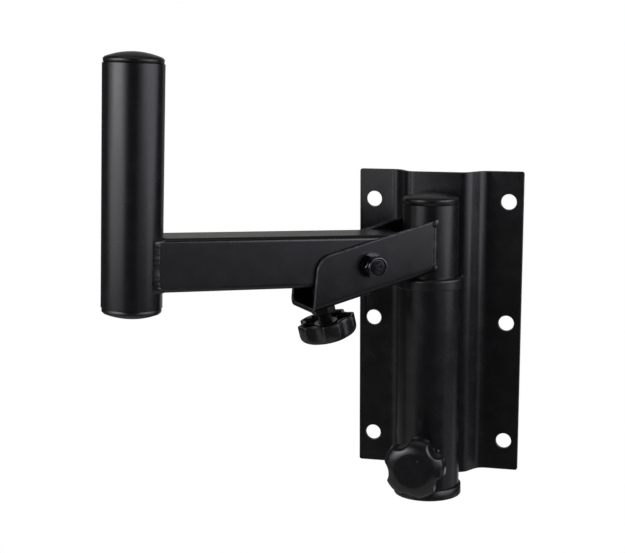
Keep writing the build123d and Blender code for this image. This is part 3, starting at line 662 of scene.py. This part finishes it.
def plug(dome_foot, dome_rise, radius):
    """Domed plug cap on a tube's end: a rim with a crisp edge, a shallow dome and a spigot inside the tube."""
    ball_radius = (radius ** 2 + dome_rise ** 2) / (2 * dome_rise)
    rings = [(-SPIGOT_DEPTH, 1.0), (-SPIGOT_DEPTH, SPIGOT_RADIUS - 0.7), (0.4 - SPIGOT_DEPTH, SPIGOT_RADIUS),
             (0.0, SPIGOT_RADIUS)]
    rings += [(0.0, radius - 0.5), (0.3, radius - 0.2), (dome_foot - 1.1, radius), (dome_foot - 0.6, radius - 0.08),
              (dome_foot - 0.25, radius - 0.28), (dome_foot - 0.05, radius - 0.6)]
    for reach in (radius - 1.0, 15.0, 13.5, 11.5, 9.0, 6.0, 3.0, 0.6):
        rings.append((dome_foot + dome_rise - ball_radius + sqrt(ball_radius ** 2 - reach ** 2), reach))
    return turned(rings, CAP_SIDES)


# Caps of the pole and of the pivot tube, and the socket's bottom cap with its shadow groove and drafted rim
pole_axis = ARM_MIDDLE + ARM_WAY * POLE_REACH * MM
pivot_dome, pole_dome = (4.0, 2.6, 17.35), (3.0, 3.6, 17.1)      # foot and rise of the dome, and the cap's radius
for name, body, place, way, dome in (
        ("pivot_tube_cap", "pivot", SWIVEL + UP * PIVOT_HEAD * MM, UP, pivot_dome),
        ("pole_top_cap", "arm", pole_axis + ARM_UP * POLE_HEAD * MM, ARM_UP, pole_dome),
        ("pole_bottom_cap", "arm", pole_axis - ARM_UP * POLE_FOOT * MM, -ARM_UP, pole_dome)):
    finished(name + "_plug", plug(*dome), seat(place, SIDE, way), body, "black_plastic", name, sharp=50)
foot_spigot = [(-10.0, 1.0), (-10.0, 17.9), (-9.6, 18.3), (0.0, 18.3)]
foot_groove = [(0.0, 19.3), (0.6, 19.3), (0.62, 21.2), (0.75, 21.35)]
foot_rim = [(6.2, 21.5), (6.6, 21.44), (6.9, 21.2), (7.05, 20.8)]
foot_face = [(7.35, 18.5), (7.75, 15.0), (8.15, 10.0), (8.42, 5.0), (8.5, 0.6)]
foot_cap = turned(foot_spigot + foot_groove + foot_rim + foot_face, CAP_SIDES)
finished("socket_foot_cap", foot_cap, seat(Vector((0, SWIVEL.y, SOCKET_FOOT * MM)), SIDE, -UP), "wall", "black_plastic",
         "socket_bottom_cap", sharp=50)


def softened(name, body, width):
    """CAD sheet or tube with its sharp edges rounded, as cut steel is under a coat of paint, and pale on the rounding:
    partly rubbed wear, partly painted highlight.
    """
    shape = bmesh.new()
    shape.from_mesh(frame["nodes"][name].data)
    bmesh.ops.remove_doubles(shape, verts=shape.verts, dist=1e-6)
    bmesh.ops.dissolve_limit(shape, angle_limit=radians(0.3), verts=shape.verts, edges=shape.edges)
    piece = finished(name + "_coated", shape, Matrix(), body, "black_powder_coat", name, sharp=30)
    piece.data.materials.append(edge_wear_and_highlight_finish)
    rounding = piece.modifiers.new("rounded_edges", "BEVEL")
    rounding.width = width * MM
    rounding.segments = 3
    rounding.limit_method = "ANGLE"
    rounding.angle_limit = radians(40)
    rounding.harden_normals = True
    rounding.use_clamp_overlap = False
    rounding.material = 1                   # the pale edge: rubbed wear and painted highlight


for name, body, width in (("wall_plate", "wall", 0.5), ("tilt_channel", "pivot", 0.9), ("arm_tube", "arm", 0.4)):
    softened(name, body, width)


def soft_box(name, azimuth, low, high, distance, width, radiance, colour="#ffffff", shape="RECTANGLE"):
    """Upright studio light: azimuth in degrees from the wall's normal, lower and upper edge, distance and width in
    metres."""
    lamp = bpy.data.lights.new(name, "AREA")
    lamp.shape = shape
    lamp.size = width
    lamp.size_y = high - low
    lamp.energy = radiance * pi * width * (high - low) * (pi / 4 if shape == "ELLIPSE" else 1)
    lamp.color = linear(colour)[:3]
    holder = bpy.data.objects.new(name, lamp)
    bpy.context.scene.collection.objects.link(holder)
    facing = Vector((sin(radians(azimuth)), -cos(radians(azimuth)), 0))
    holder.location = STUDIO_MIDDLE + facing * distance + Vector((0, 0, (low + high) / 2))
    holder.rotation_euler = (-facing).to_track_quat("-Z", "Y").to_euler()
    holder.visible_camera = False
    return holder


# Soft boxes with a bright middle and a fading edge, and pale cards round the back and below. Each line has the name,
# azimuth, lower edge, upper edge, distance, width, radiance and colour, and the shape where it isn't a rectangle
for light in (
        ("left_soft_box", -38, 0.14, 0.44, 0.83, 0.46, 3.00, "#fbf9ff"),
        ("left_soft_box_middle", -39, -0.05, 0.52, 0.87, 0.80, 1.30, "#fbf9ff"),
        ("left_soft_box_edge", -40.5, 0.02, 0.60, 0.91, 1.28, 0.85, "#fbf9ff"),
        ("left_low_card", -58, -0.75, -0.10, 1.2, 1.00, 0.20, "#fbf9ff"),
        ("right_soft_box", 76, 0.20, 0.46, 0.80, 0.56, 2.00, "#f6f5ff"),
        ("right_soft_box_middle", 86, -0.10, 0.58, 0.83, 0.72, 0.85, "#f6f5ff", "ELLIPSE"),
        ("right_soft_box_edge", 85, -0.10, 0.62, 0.87, 1.36, 1.05, "#f6f5ff", "ELLIPSE"),
        ("right_low_card", 98, -0.75, -0.36, 1.2, 1.30, 0.38, "#f6f5ff"),
        ("right_fill", 50, -0.20, 0.60, 1.68, 0.80, 0.50, "#f4f4ff"),
        ("right_high_strip", 58, 0.26, 0.70, 1.05, 0.30, 1.60, "#f6f5ff"),
        ("back_card", 190, -0.15, 0.30, 1.5, 2.0, 0.21, "#fffff8"),
        ("back_card_middle", 192, 0.30, 0.85, 1.5, 2.2, 0.28, "#fffffb"),
        ("back_high_card", 190, 0.85, 2.10, 1.5, 2.2, 0.11, "#fffffb"),
        ("back_low_card", 180, -0.85, -0.20, 1.6, 1.2, 0.50, "#fffff8"),
        ("left_back_card", -125, -0.85, -0.40, 1.3, 1.4, 0.14, "#fbf9ff"),
        ("right_back_card", 138, -0.85, -0.40, 1.3, 1.3, 0.14, "#f6f5ff")):
    soft_box(*light)

# Glow from below and from above
floor_glow = soft_box("floor_glow", azimuth=0, low=-0.45, high=0.45, distance=0, width=1.40, radiance=0.32)
floor_glow.location = Vector((-0.25, -0.32, -0.44))
floor_glow.rotation_euler = (pi, 0, 0)
top_glow = soft_box("top_glow", azimuth=0, low=-0.45, high=0.45, distance=0, width=1.20, radiance=0.35)
top_glow.location = Vector((-0.05, -0.30, 1.10))
top_glow.rotation_euler = (0, 0, 0)

floor_mesh = bpy.data.meshes.new("floor")
floor_shape = bmesh.new()
bmesh.ops.create_grid(floor_shape, x_segments=1, y_segments=1, size=FLOOR_HALF,
                      matrix=Matrix.Translation((0, 0, FLOOR_HEIGHT)))
floor_shape.to_mesh(floor_mesh)
floor_shape.free()
floor = bpy.data.objects.new("floor", floor_mesh)
bpy.context.scene.collection.objects.link(floor)
floor.visible_diffuse = False
floor.visible_glossy = False
floor.data.materials.append(white_paper())

# World: white to the camera, and a weak light all round
world = bpy.data.worlds.new("studio")
world.use_nodes = True
world.node_tree.nodes.clear()
sight = node(world.node_tree, "ShaderNodeLightPath")
room = node(world.node_tree, "ShaderNodeBackground", Color=linear("#ffffff"), Strength=ROOM_LIGHT)
white = node(world.node_tree, "ShaderNodeBackground", Color=linear("#ffffff"), Strength=1.0)
both = node(world.node_tree, "ShaderNodeMixShader", Fac=sight.outputs["Is Camera Ray"], i1=room.outputs[0],
            i2=white.outputs[0])
node(world.node_tree, "ShaderNodeOutputWorld", Surface=both.outputs[0])
bpy.context.scene.world = world
bpy.context.scene.view_settings.view_transform = "Standard"

sight_line = Vector((-sin(CAMERA_YAW) * cos(CAMERA_PITCH), cos(CAMERA_YAW) * cos(CAMERA_PITCH), -sin(CAMERA_PITCH)))
lens = bpy.data.cameras.new("photograph")
lens.sensor_fit = "HORIZONTAL"
lens.sensor_width = SENSOR_WIDTH
lens.lens = FOCAL_PIXELS / PICTURE_WIDTH * SENSOR_WIDTH
lens.shift_x = (PICTURE_WIDTH / 2 - PRINCIPAL_X) / PICTURE_WIDTH
lens.shift_y = (PRINCIPAL_Y - PICTURE_HEIGHT / 2) / PICTURE_WIDTH
camera = bpy.data.objects.new("photograph", lens)
bpy.context.scene.collection.objects.link(camera)
camera.location = CAMERA_PLACE
camera.rotation_euler = sight_line.to_track_quat("-Z", "Y").to_euler()
bpy.context.scene.camera = camera
